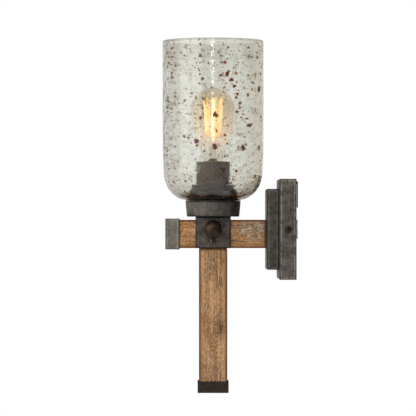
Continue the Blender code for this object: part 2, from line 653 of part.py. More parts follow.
def lamp():
    at = (0, LAMP_Y, 0)
    tip_top = TIP_FOOT + 1 * MM
    outline = [(0, TIP_FOOT), (3 * MM, TIP_FOOT), (4 * MM, tip_top), (0, tip_top)]
    place("lamp_contact", turned(outline, 20), "steel", at)
    low, high = tip_top + GAP, CAP_FOOT - GAP
    outline = [(0, low), (5.4 * MM, low), (9.4 * MM, high), (0, high)]
    place("lamp_insulator", turned(outline, 28), "black_plastic", at)
    outer = thread_outline(CAP_RADIUS, CAP_FOOT, CAP_TOP - 4 * MM)
    inner = CAP_RADIUS - THREAD_DEEP - CAP_WALL
    outline = [
        (8 * MM, CAP_FOOT), *outer, (CAP_RADIUS, CAP_TOP), (CAP_RADIUS - CAP_WALL, CAP_TOP),
        (CAP_RADIUS - CAP_WALL, CAP_TOP - 4 * MM), (inner, CAP_TOP - 6.5 * MM),
        (inner, CAP_FOOT + CAP_WALL), (8 * MM, CAP_FOOT + CAP_WALL),
    ]
    place("lamp_cap", turned(outline, 24), "brass", at)
    tip = [(0, LAMP_TOP + 2.2 * MM), (2 * MM, LAMP_TOP + 0.6 * MM)]
    outline = [*tip, *lamp_wall(0)[::-1], *lamp_wall(LAMP_WALL), (0, LAMP_TOP - LAMP_WALL)]
    place("lamp_envelope", turned(outline, 32), "lamp_glass", at)
    stem()
    filament()


def stem():
    """Flared glass foot and rod that carry the filament."""
    rod, button = 1.6 * MM, 2.6 * MM
    outline = [
        (0, 86 * MM), (9.6 * MM, 86 * MM), (9 * MM, 88.5 * MM), (5 * MM, 94 * MM), (4 * MM, 101 * MM),
        (4 * MM, 108 * MM), (rod, 111 * MM), (rod, STEM_BUTTON_LOW), (button, STEM_BUTTON_LOW + 1 * MM),
        (button, STEM_BUTTON_LOW + 3 * MM), (rod, STEM_BUTTON_LOW + 4 * MM), (rod, STEM_BUTTON_HIGH),
        (button, STEM_BUTTON_HIGH + 1 * MM), (button, STEM_BUTTON_HIGH + 3 * MM),
        (0, STEM_BUTTON_HIGH + 4 * MM),
    ]
    place("lamp_stem", turned(outline, 20), "clear_glass", (0, LAMP_Y, 0))


def anchor_star(name, angles, button_z, tip_radius, tip_z, button_radius):
    """Fine support wires that fan out from a collar round one of the stem's buttons."""
    collar = [
        (button_radius + GAP, button_z), (button_radius + 1.1 * MM, button_z),
        (button_radius + 1.1 * MM, button_z + 1 * MM), (button_radius + GAP, button_z + 1 * MM),
    ]
    star = place(name, turned(collar, 24), "steel", (0, LAMP_Y, 0))
    for angle in angles:
        out = Vector((cos(angle), sin(angle), 0))
        base = Vector((0, LAMP_Y, button_z + 0.5 * MM))
        start = base + out * (button_radius + 0.7 * MM)
        end = Vector((0, LAMP_Y, tip_z)) + out * tip_radius
        run = end - start
        outline = [(0, 0), (SUPPORT, 0), (SUPPORT, run.length), (0, run.length)]
        rod = place("cutter", turned(outline, 8), None, start)
        rod.rotation_euler = run.to_track_quat("Z", "Y").to_euler()
        cut(star, hidden(rod), operation="UNION")


def filament():
    """Squirrel-cage filament: one fine wire that runs up and down round the stem, bent over a
    support wire at each turn and fed at both ends by a lead-in wire from the stem."""
    at = (0, LAMP_Y, 0)

    def spot(radius, angle, z):
        return Vector((radius * cos(angle), LAMP_Y + radius * sin(angle), z))

    angles = [TAU * k / (CAGE_LEGS + 1) for k in range(CAGE_LEGS + 1)]
    points = [spot(CAGE_LOW_RADIUS, angles[0], CAGE_LOW)]
    for k, angle in enumerate(angles[1:-1], start=1):
        high = k % 2
        radius, z = (CAGE_HIGH_RADIUS, CAGE_HIGH) if high else (CAGE_LOW_RADIUS, CAGE_LOW)
        aside, back = HAIRPIN / radius, -HAIRPIN if high else HAIRPIN
        points += [
            spot(radius, angle - aside, z + back), spot(radius, angle - aside / 2, z),
            spot(radius, angle + aside / 2, z), spot(radius, angle + aside, z + back),
        ]
    points.append(spot(CAGE_LOW_RADIUS, angles[-1], CAGE_LOW))
    wire("filament", points, FILAMENT, "tungsten", 6, at)
    clear = FILAMENT + SUPPORT + GAP
    anchor_star(
        "upper_supports", angles[1::2], STEM_BUTTON_HIGH + 1.5 * MM, CAGE_HIGH_RADIUS - clear,
        CAGE_HIGH - 0.5 * MM, 2.6 * MM,
    )
    anchor_star(
        "lower_supports", angles[2:-2:4], STEM_BUTTON_LOW + 1.5 * MM, CAGE_LOW_RADIUS - clear,
        CAGE_LOW - 1.5 * MM, 2.6 * MM,
    )
    route = [
        (4.9 * MM, 103 * MM), (5.6 * MM, 110 * MM), (7.6 * MM, 117 * MM),
        (8.9 * MM, CAGE_LOW - 1.3 * MM),
    ]
    for name, angle in (("feed_wire_first", angles[0]), ("feed_wire_last", angles[-1])):
        wire(name, [spot(radius, angle, z) for radius, z in route], SUPPORT, "steel", 6, at)


# ---- wiring ---------------------------------------------------------------------------------------
NUT_X, NUT_Y, NUT_Z = 30 * MM, -11 * MM, -34 * MM
WIRE_NUT_LENGTH = 20 * MM


def wiring():
    """Two insulated leads down the lamp pipe and along the arm, ending in twist-on connectors in
    the canopy, and an earth lead from the pipe's terminal to the strap's green screw."""
    for name, side, colour in (("white", 1, "white_plastic"), ("black", -1, "black_plastic")):
        x = side * 1.6 * MM
        route = [
            (x, LAMP_Y, NIPPLE_TOP + 1.2 * MM), (x, LAMP_Y, 40 * MM), (x, LAMP_Y, 20 * MM),
            (x, LAMP_Y, 4 * MM), (x, LAMP_Y + 1.2 * MM, -3 * MM), (x, LAMP_Y + 5 * MM, ARM_Z),
            (x, LAMP_Y + 14 * MM, ARM_Z), (x, -60 * MM, ARM_Z), (x, -30 * MM, ARM_Z), (x, -13 * MM, ARM_Z),
            (side * 5 * MM, -7.5 * MM, -9 * MM), (side * 16 * MM, -6.5 * MM, -16 * MM),
            (side * 27 * MM, -9 * MM, -22 * MM), (side * NUT_X, NUT_Y, -29 * MM),
            (side * NUT_X, NUT_Y, NUT_Z - 3 * MM),
        ]
        wire(f"{name}_lead", smooth_route(route, 4 * MM), LEAD, colour)
        mouth, tail, wall = 5.6 * MM, 3.6 * MM, 1.6 * MM
        outline = [
            (0, -WIRE_NUT_LENGTH), (tail, -WIRE_NUT_LENGTH), (mouth, -4 * MM), (mouth, 0),
            (mouth - wall, 0), (mouth - wall, -6 * MM), (0, -6 * MM),
        ]
        place(f"wire_nut_{name}", turned(outline, 24), colour, (side * NUT_X, NUT_Y, NUT_Z))
    front = CANOPY_FRONT + PAN_WALL + GAP
    start = front + 0.8 * MM + GAP + LEAD
    route = [
        (13 * MM, start, ARM_Z), (19 * MM, start + 0.5 * MM, ARM_Z + 1 * MM),
        (30 * MM, -15 * MM, ARM_Z + 4 * MM),
        (36 * MM, -9 * MM, 1 * MM), (33.5 * MM, -4.2 * MM, 0.6 * MM),
        (GROUND_X + 2 * MM, -STRAP_THICK - GAP - LEAD, 0),
    ]
    wire("ground_lead", smooth_route(route, 4 * MM), LEAD, "green_plastic")


def main():
    for old in list(bpy.data.objects):
        bpy.data.objects.remove(old)
    mounting_strap()
    canopy()
    side_screws()
    ground_parts()
    arm()
    saddle()
    post()
    fitter()
    shade()
    lampholder()
    lamp()
    wiring()


main()
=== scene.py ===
"""Wall light of reclaimed timber and aged iron, with a speckled glass shade round a lit filament
lamp. The wall is the plane y = 0, the room is on the -Y side, +Z is up, and lengths are metres."""

from math import asin, cos, degrees, pi, radians, sin, sqrt, tau

import bmesh
import bpy
from mathutils import Matrix, Vector, noise


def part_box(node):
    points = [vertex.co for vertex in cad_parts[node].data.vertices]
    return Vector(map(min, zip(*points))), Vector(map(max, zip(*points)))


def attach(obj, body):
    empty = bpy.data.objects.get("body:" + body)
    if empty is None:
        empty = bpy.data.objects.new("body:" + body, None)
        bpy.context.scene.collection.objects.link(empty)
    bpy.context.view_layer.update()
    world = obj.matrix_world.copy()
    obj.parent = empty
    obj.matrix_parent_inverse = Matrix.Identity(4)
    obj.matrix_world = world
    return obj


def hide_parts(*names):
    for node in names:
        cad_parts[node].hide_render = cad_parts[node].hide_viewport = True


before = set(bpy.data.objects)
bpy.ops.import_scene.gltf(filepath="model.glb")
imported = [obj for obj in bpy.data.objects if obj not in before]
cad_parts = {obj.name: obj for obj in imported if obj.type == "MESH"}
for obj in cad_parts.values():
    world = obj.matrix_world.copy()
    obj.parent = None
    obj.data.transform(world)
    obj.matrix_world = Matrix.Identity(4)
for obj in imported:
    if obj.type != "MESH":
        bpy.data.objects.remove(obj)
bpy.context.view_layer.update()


# ---- Strap on the wall box ----------------------------------------------------------------------
# A zinc-plated steel strap, pressed and bent from one strip, screwed to the box in the wall, with
# a green earth screw in it. Like all plain fittings that nothing shows, both keep their CAD shape.
MM = 0.001


class Value:
    """An output on a finish's node sheet. Arithmetic on it adds Math nodes."""

    def __init__(self, sheet, socket):
        self.sheet, self.socket = sheet, socket

    def __getitem__(self, name):
        """The output of that name on the same node."""
        return Value(self.sheet, self.socket.node.outputs[name])

    def __add__(self, other):
        return self.sheet.maths("ADD", self, other)

    def __sub__(self, other):
        return self.sheet.maths("SUBTRACT", self, other)

    def __rsub__(self, other):
        return self.sheet.maths("SUBTRACT", other, self)

    def __mul__(self, other):
        return self.sheet.maths("MULTIPLY", self, other)

    __radd__, __rmul__ = __add__, __mul__

    def least(self, other):
        return self.sheet.maths("MINIMUM", self, other)

    def most(self, other):
        return self.sheet.maths("MAXIMUM", self, other)

    def step(self, low, high):
        """0 below low and 1 above high, smooth between them. It falls if low is above high."""
        ends = {"Value": self, "From Min": low, "From Max": high}
        return self.sheet.node("ShaderNodeMapRange", {"interpolation_type": "SMOOTHSTEP"}, ends)


class Finish:
    """A material: one Principled shader, and the nodes that vary it over the piece."""

    def __init__(self, name, **constants):
        self.material = bpy.data.materials.new(name)
        self.material.use_nodes = True
        self.tree = self.material.node_tree
        self.shader = self.tree.nodes["Principled BSDF"]
        self.feed(**constants)
        self.place = self.node("ShaderNodeTexCoord")["Object"]

    def node(self, kind, settings=None, values=None):
        """Adds a node: its settings first, then a value or a link for each socket."""
        made = self.tree.nodes.new(kind)
        for name, value in (settings or {}).items():
            setattr(made, name, value)
        self.join(made, values or {})
        return Value(self, next(output for output in made.outputs if output.enabled))

    def join(self, node, values):
        by_identifier = {socket.identifier: socket for socket in node.inputs}
        for name, value in values.items():
            socket = by_identifier.get(name) or node.inputs[name]
            if isinstance(value, Value):
                self.tree.links.new(value.socket, socket)
            elif socket.type == "RGBA":
                socket.default_value = (*value, 1)
            else:
                socket.default_value = value

    def feed(self, **values):
        """Sets or links the shader's own sockets, their names written with underscores."""
        self.join(self.shader, {name.replace("_", " "): value for name, value in values.items()})

    def maths(self, operation, *terms):
        return self.node("ShaderNodeMath", {"operation": operation}, dict(enumerate(terms)))

    def vector(self, operation, *terms):
        return self.node("ShaderNodeVectorMath", {"operation": operation}, dict(enumerate(terms)))

    def parts(self, vector):
        """A vector's three numbers, under the names X, Y and Z."""
        return self.node("ShaderNodeSeparateXYZ", None, {0: vector})

    def away(self, point, shares=(1, 1, 1)):
        """How far the surface is from a point, each axis counted by its share."""
        offset = self.vector("MULTIPLY", self.vector("SUBTRACT", self.place, point), shares)
        return self.vector("LENGTH", offset)["Value"]

    def mix(self, share, first, second):
        ends = {"Factor_Float": share, "A_Color": first, "B_Color": second}
        return self.node("ShaderNodeMix", {"data_type": "RGBA"}, ends)

    def scaled(self, size, stretch=(1, 1, 1)):
        """The place on the piece, counted in units of that size, stretched along some axes."""
        return self.vector("MULTIPLY", self.place, [1 / (size * s) for s in stretch])

    def cloud(self, size, stretch=(1, 1, 1), detail=4, rough=0.55, warp=0.0):
        """Noise from 0 to 1 with features of about that size."""
        values = {"Vector": self.scaled(size, stretch), "Scale": 1.0, "Detail": detail}
        values |= {"Roughness": rough, "Distortion": warp}
        return self.node("ShaderNodeTexNoise", None, values)

    def bump(self, height, depth):
        """Raises the surface by that many metres where height is 1."""
        values = {"Height": height, "Distance": depth, "Strength": 1.0}
        self.feed(Normal=self.node("ShaderNodeBump", None, values))

    def edge_distance(self, low, high):
        """How far a point on a box-shaped piece is from its nearest edge: the middle one of its
        distances from the faces."""
        offset = self.vector("SUBTRACT", self.place, (high + low) / 2)
        gaps = self.vector("SUBTRACT", (high - low) / 2, self.vector("ABSOLUTE", offset))
        gaps = self.parts(gaps)
        x, y, z = gaps["X"], gaps["Y"], gaps["Z"]
        return x.least(y).most(x.most(y).least(z))


def dress(mesh, finish, crease):
    """Gives a mesh its finish, and smooth shading up to bends of that many degrees."""
    mesh.materials.clear()
    mesh.materials.append(finish.material)
    mesh.shade_smooth()
    mesh.set_sharp_from_angle(angle=radians(crease))


def carry(finish, *names):
    """CAD nodes whose shape is right keep it and get that finish."""
    for name in names:
        dress(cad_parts[name].data, finish, 35)


def plated(name, bright, dull, metallic=1.0):
    """Thin plating: cloudy, a little stained, with fine drawn lines."""
    finish = Finish(name, Metallic=metallic)
    stain = finish.cloud(6 * MM, detail=6)
    drawn = finish.cloud(0.5 * MM, (1, 1, 12), detail=2)
    colour = finish.mix(stain.step(0.35, 0.7), bright, dull)
    finish.feed(Base_Color=colour, Roughness=0.25 + 0.3 * stain)
    finish.bump(drawn * 0.4 + stain * 0.6, 0.05 * MM)
    return finish


zinc = plated("zinc", (0.55, 0.54, 0.52), (0.32, 0.31, 0.29))
green_dye = plated("green_dye", (0.03, 0.26, 0.09), (0.015, 0.13, 0.05), metallic=0.5)
carry(zinc, "mounting_strap", "ground_terminal")
carry(green_dye, "ground_screw")


# ---- Canopy -------------------------------------------------------------------------------------
# Two shallow square boxes, one on the other, bent and welded from sheet iron. They are rubbed
# back so that long upright strokes show. Their bends are painted almost black, a painted dark
# reflection, with a band inside them partly worn and partly a painted highlight.
def aged_iron(name, low, high, dark, light, strokes=(3, 3, 16), edge=1.5 * MM, wear_and_highlight=0.4):
    """Sheet iron rubbed back by hand: upright strokes, mottling, bends painted near black as a
    painted dark reflection, and a band inside them partly worn and partly a painted highlight.
    """
    painted_dark_reflection, rust_brown, bare_and_highlight = (0.012, 0.01, 0.009), (0.07, 0.036, 0.018), [1.9 * c for c in light]
    finish = Finish(name, Metallic=0.5)
    mottle = finish.cloud(9 * MM, detail=7, rough=0.62)
    stroke = finish.cloud(0.7 * MM, strokes, detail=3)
    grit = finish.cloud(1.3 * MM, detail=4, rough=0.7)
    tone = mottle.step(0.38, 0.64) * 0.4 + stroke.step(0.38, 0.64) * 0.2
    colour = finish.mix(tone + grit.step(0.45, 0.58) * 0.4, dark, light)
    near = finish.edge_distance(low, high)
    # Painted highlight: a band just inside each edge takes a worn-metal colour, partly real wear
    # and partly the light caught along each bend.
    rubbed = near.step(edge * 2.4, edge * 1.6) * near.step(edge, edge * 1.4)
    colour = finish.mix(rubbed * mottle.step(0.34, 0.56) * wear_and_highlight, colour, bare_and_highlight)
    # Painted dark reflection: the edges themselves are painted near black.
    bend = near.step(edge, edge * 0.6) * (0.6 + 0.4 * grit)
    colour = finish.mix(bend * 0.85, colour, painted_dark_reflection)
    rust = finish.cloud(14 * MM, detail=8, rough=0.7).step(0.56, 0.7)
    colour = finish.mix(rust * 0.35, colour, rust_brown)
    finish.feed(Base_Color=colour, Roughness=0.42 + 0.25 * mottle + 0.1 * bend)
    finish.bump(mottle * 0.4 + stroke * 0.25 + grit * 0.35, 0.3 * MM)
    return finish


def piece(name, bm, finish, body, slot, *stands_for, crease=40):
    """Makes a mesh one piece of the light: its finish, its body and the CAD nodes it stands for."""
    bmesh.ops.recalc_face_normals(bm, faces=bm.faces)
    if bm.calc_volume(signed=True) < 0:
        bmesh.ops.reverse_faces(bm, faces=bm.faces)
    mesh = bpy.data.meshes.new(name)
    bm.to_mesh(mesh)
    bm.free()
    dress(mesh, finish, crease)
    made = bpy.data.objects.new(name, mesh)
    bpy.context.scene.collection.objects.link(made)
    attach(made, body)
    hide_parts(*stands_for)


def skin(bm, rings):
    """Joins each ring of points to the next with faces. A ring may be a single point."""
    for first, second in zip(rings, rings[1:]):
        around = max(len(first), len(second))
        for k in range(around):
            n = (k + 1) % around
            corners = [first[k % len(first)], first[n % len(first)]]
            corners += [second[n % len(second)], second[k % len(second)]]
            bm.faces.new(list(dict.fromkeys(corners)))


def tray_outline(half, floor, rim, wall, bend, flare):
    """A tray's section, from its outer face at floor to its open rim and back inside, as (half
    width, place on the axis) points. Its rim flares outwards by that much."""
    side, lip, upright_to, half_flared = half - flare, wall / 2, 3.4 * MM, 1.2 * MM
    curve = [radians(a) for a in (0, 22, 45, 68, 90)]
    points = [(side - bend, floor)]
    points += [(side - bend + bend * sin(a), floor + bend * (1 - cos(a))) for a in curve[1:]]
    points += [(side, rim - upright_to), (side + flare * 0.5, rim - half_flared)]
    points += [(half - lip + lip * cos(a * 2), rim - lip + lip * sin(a * 2)) for a in curve]
    return [*points, (side - wall, rim - upright_to), (side - wall, floor + wall)]


def rounded_square(half, radius):
    """Points round a square with rounded corners, as many for any size of square."""
    corner_steps, side_steps = 5, 12
    reach = sqrt(2) * (half - radius)

    def corner(quarter, share):
        centre, turn = pi / 2 * quarter + pi / 4, pi / 2 * (quarter + share)
        return reach * cos(centre) + radius * cos(turn), reach * sin(centre) + radius * sin(turn)

    points = []
    for quarter in range(4):
        points += [corner(quarter, k / corner_steps) for k in range(corner_steps + 1)]
        (a, b), (c, d) = points[-1], corner(quarter + 1, 0)
        shares = [k / side_steps for k in range(1, side_steps)]
        points += [(a + (c - a) * share, b + (d - b) * share) for share in shares]
    return points


def folded_tray(name, node, along, finish, wall, bend, corner, flare=0.0, seed=0.0):
    """Sheet folded to a square tray whose floor is the low end of an axis of the light. Bend is
    the radius round its floor, corner that of its upright folds. Its sides have the small
    unevenness of hand work."""
    low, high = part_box(node)
    axis = "XYZ".index(along)
    across, up = (i for i in range(3) if i != axis)
    dent, ripples, sharpest = 0.12 * MM, 60, 0.3 * MM
    bm = bmesh.new()
    rings = []
    for half, depth in tray_outline(high.x, low[axis], high[axis], wall, bend, flare):
        radius = min(max(corner - (high.x - half), sharpest), half)
        ring = []
        for u, v in rounded_square(half, radius):
            wave = noise.noise(Vector((u * ripples, v * ripples, depth * ripples + seed)))
            drawn_in = 1 - dent / high.x * (1 + wave)
            point = (low + high) / 2
            point[across] += u * drawn_in
            point[up] += v * drawn_in
            point[axis] = depth
            ring.append(bm.verts.new(point))
        rings.append(ring)
    skin(bm, rings)
    bm.faces.new(rings[0])
    bm.faces.new(rings[-1])
    piece(name, bm, finish, "fixture", "aged_iron", node)


low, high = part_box("canopy_pan")
canopy_iron = aged_iron(
    "canopy_iron", low, high, (0.018, 0.016, 0.013), (0.16, 0.141, 0.122), wear_and_highlight=0.75
)
wall, bend = 1.5 * MM, 0.9 * MM
folded_tray("square_pan", "canopy_pan", "Y", canopy_iron, wall, bend, bend)
low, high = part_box("raised_plate")
riser_iron = aged_iron(
    "riser_iron", low, high, (0.008, 0.007, 0.006), (0.1, 0.087, 0.075), wear_and_highlight=0.6
)
folded_tray("square_riser", "raised_plate", "Y", riser_iron, wall, bend, bend, seed=4.0)
rubber = Finish("rubber", Roughness=0.8)
dust = rubber.cloud(3 * MM, detail=5)
rubber.feed(Base_Color=rubber.mix(dust, (0.005, 0.005, 0.005), (0.016, 0.015, 0.014)))
rubber.bump(dust, 0.1 * MM)
carry(rubber, "rim_tape")


# ---- Side screws --------------------------------------------------------------------------------
# A domed socket screw with a washer on each side of the pan holds it on the strap's tabs.
# Both are steel, oil-rubbed to a dark red-brown that has worn on the crown.
def oiled_bronze(name, size, recess_of=None, reach=0.0, greyed=0.0):
    """Oiled dark metal with clouds of that size and worn scratches. Cross-wise screws get painted
    shade, near black, in the driver's recess, which goes that far from the axis, and may be greyed."""
    dark, brown, worn = (0.014, 0.008, 0.005), (0.06, 0.034, 0.022), (0.15, 0.095, 0.065)
    finish = Finish(name, Metallic=0.75)
    cloudy = finish.cloud(size, detail=6, rough=0.6)
    scratch = finish.cloud(size * 0.12, (1, 1, 6), detail=3)
    colour = finish.mix(cloudy.step(0.3, 0.7), dark, brown)
    colour = finish.mix(scratch.step(0.62, 0.75) * 0.5, colour, worn)
    if recess_of:
        low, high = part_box(recess_of)
        from_axis = finish.away((low + high) / 2, (0, 1, 1))
        if greyed:
            colour = finish.mix(greyed, colour, (0.11, 0.09, 0.075))
        # Painted shade: the driver's recess is painted near black.
        colour = finish.mix(from_axis.step(reach, reach * 0.8), colour, (0.003, 0.003, 0.003))
    finish.feed(Base_Color=colour, Roughness=0.3 + 0.25 * cloudy)
    finish.bump(cloudy * 0.7 + scratch * 0.3, 0.18 * MM)
    return finish


screw_bronze = oiled_bronze("screw_bronze", 2.5 * MM, "side_screw_right", 1.6 * MM)
carry(screw_bronze, "side_screw_right", "side_screw_left", "side_washer_right", "side_washer_left")


# ---- Arm and post -------------------------------------------------------------------------------
# Two lengths of reclaimed softwood, planed square long ago and since brushed, split and chipped.
# A pipe in a brass insert holds the arm on the canopy, and lag screws through it hold the post.
def timber(name, node, along, seed, splits, finish):
    """A square timber along an axis, "Y" or "Z". Each split is (side, across, from, to, depth):
    its side counted from +X, where it runs across that side from -1 to 1, its two ends along the
    timber from 0 to 1, and its depth."""
    low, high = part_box(node)
    size = high - low
    axis = "XYZ".index(along)
    other = 3 - axis  # the second axis across the timber, besides X
    half, length = size[0] / 2, size[axis]
    grid, corner, end_wear = 1.05 * MM, 1.1 * MM, 0.7 * MM
    fibre_wear, sway, chip_depth, chip_reach, split_half = (
        number * MM for number in (0.04, 0.09, 3, 3.2, 1.1)
    )
    per_side, rings = round(2 * half / grid), round(length / grid)
    bm = bmesh.new()
    loops = []
    for ring in range(rings + 1):
        t = ring / rings
        along_it = t * length
        loop = []
        for k in range(4 * per_side):
            side, step = divmod(k, per_side)
            across = 2 * (step + 0.5) / per_side - 1
            u, v = half, across * half
            near_corner = half - abs(v)
            if near_corner < corner:
                u -= corner - sqrt(corner**2 - (corner - near_corner) ** 2)
            fibre = noise.noise(Vector((side * 7 + v * 700, along_it * 30, seed)))
            waviness = noise.noise(Vector((u * 60, v * 60 + side * 9, along_it * 14 + seed)))
            chip = noise.noise(Vector((side * 5 + across, along_it * 70, seed + 4.2)))
            inward = fibre_wear * (1 + fibre) + sway * (1 + waviness)
            inward += max(0, chip - 0.05) * chip_depth * max(0, 1 - near_corner / chip_reach) ** 2
            for split_side, place_across, start, stop, depth in splits:
                if split_side == side and start < t < stop:
                    wander = 0.045 * noise.noise(Vector((along_it * 45, seed, place_across)))
                    gap = abs(across - place_across - wander) * half
                    taper = sin(pi * (t - start) / (stop - start)) ** 0.5
                    inward += depth * taper * max(0, 1 - gap / split_half)
            u -= inward + (end_wear if ring in (0, rings) else 0)
            turned = [(u, v), (-v, u), (-u, -v), (v, -u)][side]
            point = (low + high) / 2
            point[0] += max(-half, min(half, turned[0]))
            point[other] += max(-half, min(half, turned[1]))
            point[axis] = low[axis] + along_it
            loop.append(bm.verts.new(point))
        loops.append(loop)
    skin(bm, loops)
    bm.faces.new(loops[0])
    bm.faces.new(loops[-1])
    piece(name, bm, finish, "fixture", "timber", node, crease=55)


def old_timber(name, along, low, high, pale, honey, washed, knot=None):
    """Brushed softwood: growth bands, fibres and cracks along the timber, dark edges, and old
    whitewash that is left round the washed places, each (point, reach, share)."""
    dark, rubbed, whitewash = (0.07, 0.026, 0.009), (0.47, 0.36, 0.26), (0.47, 0.43, 0.37)
    painted_crack_shade, heart, grimy = (0.035, 0.015, 0.007), (0.03, 0.013, 0.006), (0.12, 0.075, 0.045)
    nick_brown, nick_light = (0.15, 0.055, 0.016), (0.66, 0.46, 0.27)
    edge_dark = (0.085, 0.03, 0.009)
    finish = Finish(name, Specular_IOR_Level=0.2)

    def run(long):
        return [long if axis == along else 1 for axis in "XYZ"]

    bands = finish.cloud(4.2 * MM, run(16), detail=3, warp=0.5)
    streaks = finish.cloud(1.9 * MM, run(22), detail=4, rough=0.6)
    fibres = finish.cloud(0.8 * MM, run(34), detail=4, rough=0.65)
    blotch = finish.cloud(17 * MM, run(2.2), detail=6, rough=0.62)
    cross = finish.cloud(2.4 * MM, run(1.5), detail=5, rough=0.7)
    ridge = finish.cloud(1.3 * MM, run(22), detail=3, rough=0.6)
    nicks = finish.cloud(1.5 * MM, run(1.8), detail=4, rough=0.7)
    colour = finish.mix(bands.step(0.38, 0.6), honey, pale)
    colour = finish.mix(blotch.step(0.4, 0.66) * 0.65, colour, [0.55 * c for c in honey])
    colour = finish.mix(streaks.step(0.5, 0.68) * 0.42, colour, dark)
    colour = finish.mix(fibres.step(0.54, 0.68) * 0.28, colour, dark)
    colour = finish.mix(cross.step(0.48, 0.62) * 0.5, colour, [0.85 * c for c in rubbed])
    colour = finish.mix(ridge.step(0.6, 0.7) * 0.5, colour, rubbed)
    colour = finish.mix(nicks.step(0.53, 0.61) * 0.62, colour, nick_brown)
    colour = finish.mix(nicks.step(0.46, 0.38) * 0.6, colour, nick_light)
    grain = finish.cloud(9 * MM, run(30), detail=2, warp=0.3)
    # Painted shade: thin cracks along the grain are painted dark brown.
    crack = finish.maths("ABSOLUTE", grain - 0.5).step(0.009, 0.003) * blotch.step(0.44, 0.54)
    colour = finish.mix(crack * 0.8, colour, painted_crack_shade)
    if knot:
        drawn_along, rings_per_metre = (1, 1, 0.55), 2600
        from_knot = finish.away(knot, drawn_along) + (cross - 0.5) * 7 * MM
        rings = finish.maths("SINE", from_knot * rings_per_metre + bands * 5)
        ringed = from_knot.step(11 * MM, 2 * MM) * (0.5 + 0.25 * rings)
        colour = finish.mix(ringed, colour, dark)
        colour = finish.mix(from_knot.step(3.2 * MM, 1.2 * MM) * 0.5, colour, heart)
    flaky = finish.cloud(4.5 * MM, run(1.8), detail=6, rough=0.68, warp=1.4) * 0.7 + blotch * 0.3
    stained = 0.0
    for place, reach, share in washed:
        left_here = finish.away(place).step(reach, reach * 0.3)
        flaky, stained = flaky + left_here * share, left_here + stained
    paint = flaky.step(0.62, 0.68)
    colour = finish.mix(paint * 0.8, colour, whitewash)
    grime = flaky.step(0.54, 0.6) * (1 - paint) * stained.least(1.0)
    colour = finish.mix(grime * 0.4, colour, grimy)
    near = finish.edge_distance(low, high)
    colour = finish.mix(near.step(8 * MM, 2 * MM) * 0.5, colour, [0.85 * c for c in honey])
    worn = near.step(3.4 * MM, 1.6 * MM) * (0.5 + 0.7 * streaks)
    colour = finish.mix(worn * 0.95, colour, edge_dark)
    finish.feed(Base_Color=colour, Roughness=0.62 + 0.25 * fibres)
    relief = fibres * 0.3 + streaks * 0.3 + bands * 0.25 + cross * 0.15 - crack * 0.5
    finish.bump(relief + paint * 0.25, 0.6 * MM)
    return finish


low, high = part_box("arm_timber")
washed = [((high.x, -52 * MM, 5 * MM), 40 * MM, 0.15)]
arm_wood = old_timber(
    "arm_wood", "Y", low, high, (0.58, 0.3, 0.112), (0.37, 0.15, 0.045), washed
)
arm_splits = [
    (0, 0.62, 0.02, 0.3, 1.2 * MM), (0, -0.3, 0.55, 0.98, 0.9 * MM), (2, 0.1, 0.3, 0.9, 1.3 * MM),
    (1, -0.2, 0.1, 0.6, 1.1 * MM), (3, 0.3, 0.4, 0.95, 1.1 * MM),
]
timber("arm_of_old_timber", "arm_timber", "Y", 3.1, arm_splits, arm_wood)
low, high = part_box("post_timber")
knot = (high.x, (low.y + high.y) / 2 + 10.7 * MM, -131 * MM)
washed = [
    ((high.x, knot[1] - 12 * MM, -42 * MM), 24 * MM, 0.05),
    ((high.x, knot[1] - 14 * MM, -176 * MM), 26 * MM, 0.07),
]
post_wood = old_timber(
    "post_wood", "Z", low, high, (0.56, 0.325, 0.15), (0.36, 0.172, 0.065), washed, knot
)
post_splits = [
    (0, 0.3, 0.55, 0.93, 1.4 * MM), (0, 0.55, 0.05, 0.5, 0.9 * MM), (0, -0.5, 0.3, 0.75, 0.8 * MM),
    (1, 0.2, 0.2, 0.8, 1.3 * MM), (2, -0.35, 0.1, 0.7, 1.4 * MM), (3, 0.05, 0.3, 0.97, 1.5 * MM),
]
timber("post_of_old_timber", "post_timber", "Z", 11.7, post_splits, post_wood)
brass = plated("brass", (0.66, 0.5, 0.24), (0.4, 0.27, 0.11))
carry(brass, "arm_insert")
carry(zinc, "arm_pipe", "arm_pipe_nut", "arm_end_screw_right", "arm_end_screw_left")
carry(zinc, "post_lag_right", "post_lag_left")


# ---- End caps -----------------------------------------------------------------------------------
# A folded sheet-iron shoe on the arm's front and one on the post's foot, soldered at the corners,
# with the open rim dressed slightly outwards. The arm's is painted much lighter than the post's:
# painted light on the arm's end and painted shade under the post.
low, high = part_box("arm_cap")
lit_arm_cap_iron = aged_iron("lit_arm_cap_iron", low, high, (0.085, 0.078, 0.063), (0.23, 0.215, 0.18))
wall, bend, corner = 1.6 * MM, 0.8 * MM, 1.0 * MM
folded_tray("arm_end_cap", "arm_cap", "Y", lit_arm_cap_iron, wall, bend, corner, 0.3 * MM, seed=7.0)
low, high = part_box("post_cap")
shaded_post_cap_iron = aged_iron(
    "shaded_post_cap_iron", low, high, (0.007, 0.004, 0.003), (0.04, 0.024, 0.016), wear_and_highlight=0.2
)
folded_tray("post_foot_cap", "post_cap", "Z", shaded_post_cap_iron, wall, bend, corner, 0.2 * MM, seed=9.0)


# ---- Saddle and its balls -----------------------------------------------------------------------
# A sheet-iron saddle folded over the arm, with a cast ball screwed into each cheek and a small
# countersunk screw below it. The rims are painted dark, as painted shade and dark reflection; the
# middle of each cheek is rubbed in patches.
def arc(centre_r, centre_z, a, b, start, stop, count):
    """Points of an outline on an elliptical arc, its angles in degrees from the radial axis."""
    turns = [radians(start + (stop - start) * k / count) for k in range(count + 1)]
    return [(centre_r + a * cos(t), centre_z + b * sin(t)) for t in turns]


